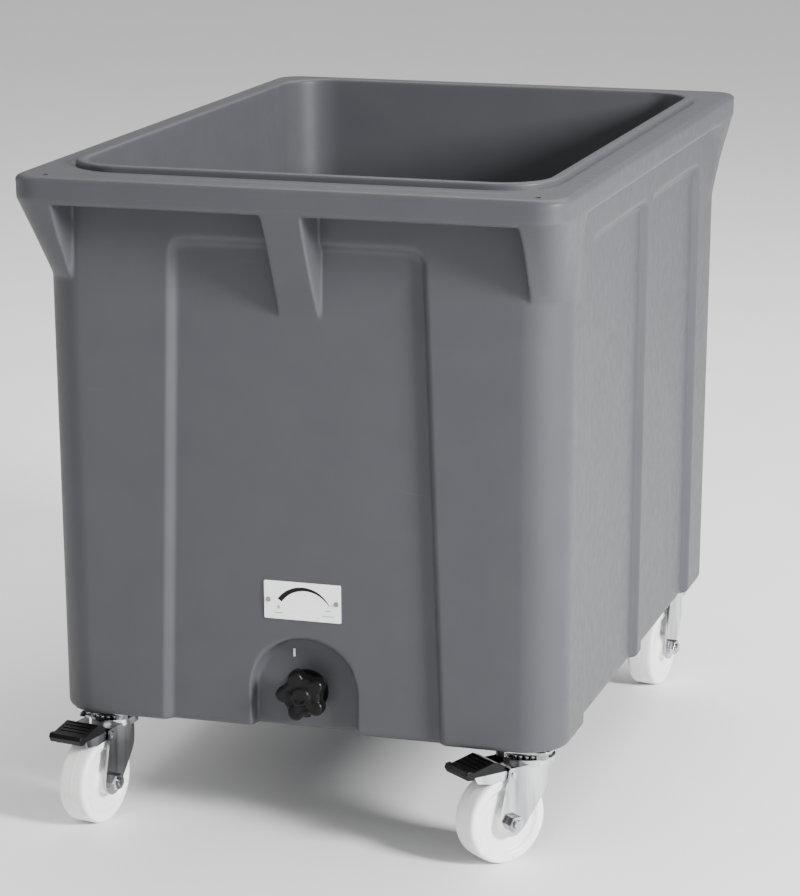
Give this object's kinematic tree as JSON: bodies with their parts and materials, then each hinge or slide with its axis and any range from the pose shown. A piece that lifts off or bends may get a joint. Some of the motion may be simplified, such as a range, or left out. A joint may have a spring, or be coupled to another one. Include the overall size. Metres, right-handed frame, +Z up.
{
  "type": "wheeled ice tote",
  "caption": "Open-topped double-walled plastic tote on swivel castors, with grip lips at both ends and a turn-knob drain valve low in front.",
  "frame": {"origin": "middle of the tote's plan at floor level, where the wheels stand", "axes": "+X to the right seen from the front, -Y to the front (knob side), +Z up"},
  "size_m": [0.612, 0.92, 0.752],
  "materials": {
    "tote_plastic": "satin",
    "foam": "matte",
    "white_paint": "matte",
    "zinc": "satin",
    "chrome": "gloss",
    "brass": "satin",
    "nylon": "satin",
    "black_plastic": "satin",
    "rubber": "matte",
    "label": "satin",
    "aluminium": "satin"
  },
  "bodies": {
    "tote": {"outer_shell": "tote_plastic", "inner_liner": "tote_plastic", "foam_core": "foam", "index_tick": "white_paint", "mount_inserts": "brass", "plate_bolts": "zinc", "plate_washers": "zinc", "label_plate": "label", "label_rivets": "aluminium", "drain_body": "black_plastic", "drain_gasket": "rubber", "drain_nut": "black_plastic", "drain_strainer": "black_plastic", "drain_bonnet": "black_plastic", "front_left_top_plate": "zinc", "front_left_kingpin": "zinc", "front_left_race_balls": "chrome", "front_right_top_plate": "zinc", "front_right_kingpin": "zinc", "front_right_race_balls": "chrome", "rear_left_top_plate": "zinc", "rear_left_kingpin": "zinc", "rear_left_race_balls": "chrome", "rear_right_top_plate": "zinc", "rear_right_kingpin": "zinc", "rear_right_race_balls": "chrome"},
    "drain_valve": {"drain_spindle": "black_plastic", "drain_seal": "rubber", "drain_knob": "black_plastic", "knob_grub_screw": "zinc"},
    "front_left_swivel": {"front_left_fork": "zinc", "front_left_axle_bolt": "zinc", "front_left_axle_nut": "zinc", "front_left_axle_sleeve": "zinc", "front_left_brake_pin": "zinc"},
    "front_left_wheel": {"front_left_wheel": "nylon"},
    "front_left_brake": {"front_left_brake_lever": "zinc", "front_left_brake_shoe": "rubber", "front_left_brake_pedal": "black_plastic"},
    "front_right_swivel": {"front_right_fork": "zinc", "front_right_axle_bolt": "zinc", "front_right_axle_nut": "zinc", "front_right_axle_sleeve": "zinc", "front_right_brake_pin": "zinc"},
    "front_right_wheel": {"front_right_wheel": "nylon"},
    "front_right_brake": {"front_right_brake_lever": "zinc", "front_right_brake_shoe": "rubber", "front_right_brake_pedal": "black_plastic"},
    "rear_left_swivel": {"rear_left_fork": "zinc", "rear_left_axle_bolt": "zinc", "rear_left_axle_nut": "zinc", "rear_left_axle_sleeve": "zinc"},
    "rear_left_wheel": {"rear_left_wheel": "nylon"},
    "rear_right_swivel": {"rear_right_fork": "zinc", "rear_right_axle_bolt": "zinc", "rear_right_axle_nut": "zinc", "rear_right_axle_sleeve": "zinc"},
    "rear_right_wheel": {"rear_right_wheel": "nylon"}
  },
  "joints": [
    {"name": "drain_valve_turn", "type": "hinge", "parent": "tote", "child": "drain_valve", "pos_m": [0, -0.38, 0.174], "axis": [0, 1, 0], "range_deg": [0, 90]},
    {"name": "front_left_swivel_turn", "type": "hinge", "parent": "tote", "child": "front_left_swivel", "pos_m": [-0.2445, -0.3445, 0.11], "axis": [0, 0, 1], "continuous": true},
    {"name": "front_left_wheel_spin", "type": "hinge", "parent": "front_left_swivel", "child": "front_left_wheel", "pos_m": [-0.25195, -0.38176, 0.05], "axis": [0.9806, -0.1959, 0], "continuous": true},
    {"name": "front_left_brake_press", "type": "hinge", "parent": "front_left_swivel", "child": "front_left_brake", "pos_m": [-0.25155, -0.3798, 0.104], "axis": [0.9806, -0.1959, 0], "range_deg": [0, 9]},
    {"name": "front_right_swivel_turn", "type": "hinge", "parent": "tote", "child": "front_right_swivel", "pos_m": [0.2445, -0.3445, 0.11], "axis": [0, 0, 1], "continuous": true},
    {"name": "front_right_wheel_spin", "type": "hinge", "parent": "front_right_swivel", "child": "front_right_wheel", "pos_m": [0.22043, -0.37391, 0.05], "axis": [0.7738, -0.6334, 0], "continuous": true},
    {"name": "front_right_brake_press", "type": "hinge", "parent": "front_right_swivel", "child": "front_right_brake", "pos_m": [0.2217, -0.37236, 0.104], "axis": [0.7738, -0.6334, 0], "range_deg": [0, 9]},
    {"name": "rear_left_swivel_turn", "type": "hinge", "parent": "tote", "child": "rear_left_swivel", "pos_m": [-0.2445, 0.3445, 0.11], "axis": [0, 0, 1], "continuous": true},
    {"name": "rear_left_wheel_spin", "type": "hinge", "parent": "rear_left_swivel", "child": "rear_left_wheel", "pos_m": [-0.24053, 0.30671, 0.05], "axis": [0.9945, 0.1045, 0], "continuous": true},
    {"name": "rear_right_swivel_turn", "type": "hinge", "parent": "tote", "child": "rear_right_swivel", "pos_m": [0.2445, 0.3445, 0.11], "axis": [0, 0, 1], "continuous": true},
    {"name": "rear_right_wheel_spin", "type": "hinge", "parent": "rear_right_swivel", "child": "rear_right_wheel", "pos_m": [0.23987, 0.30678, 0.05], "axis": [0.9925, -0.1219, 0], "continuous": true}
  ]
}
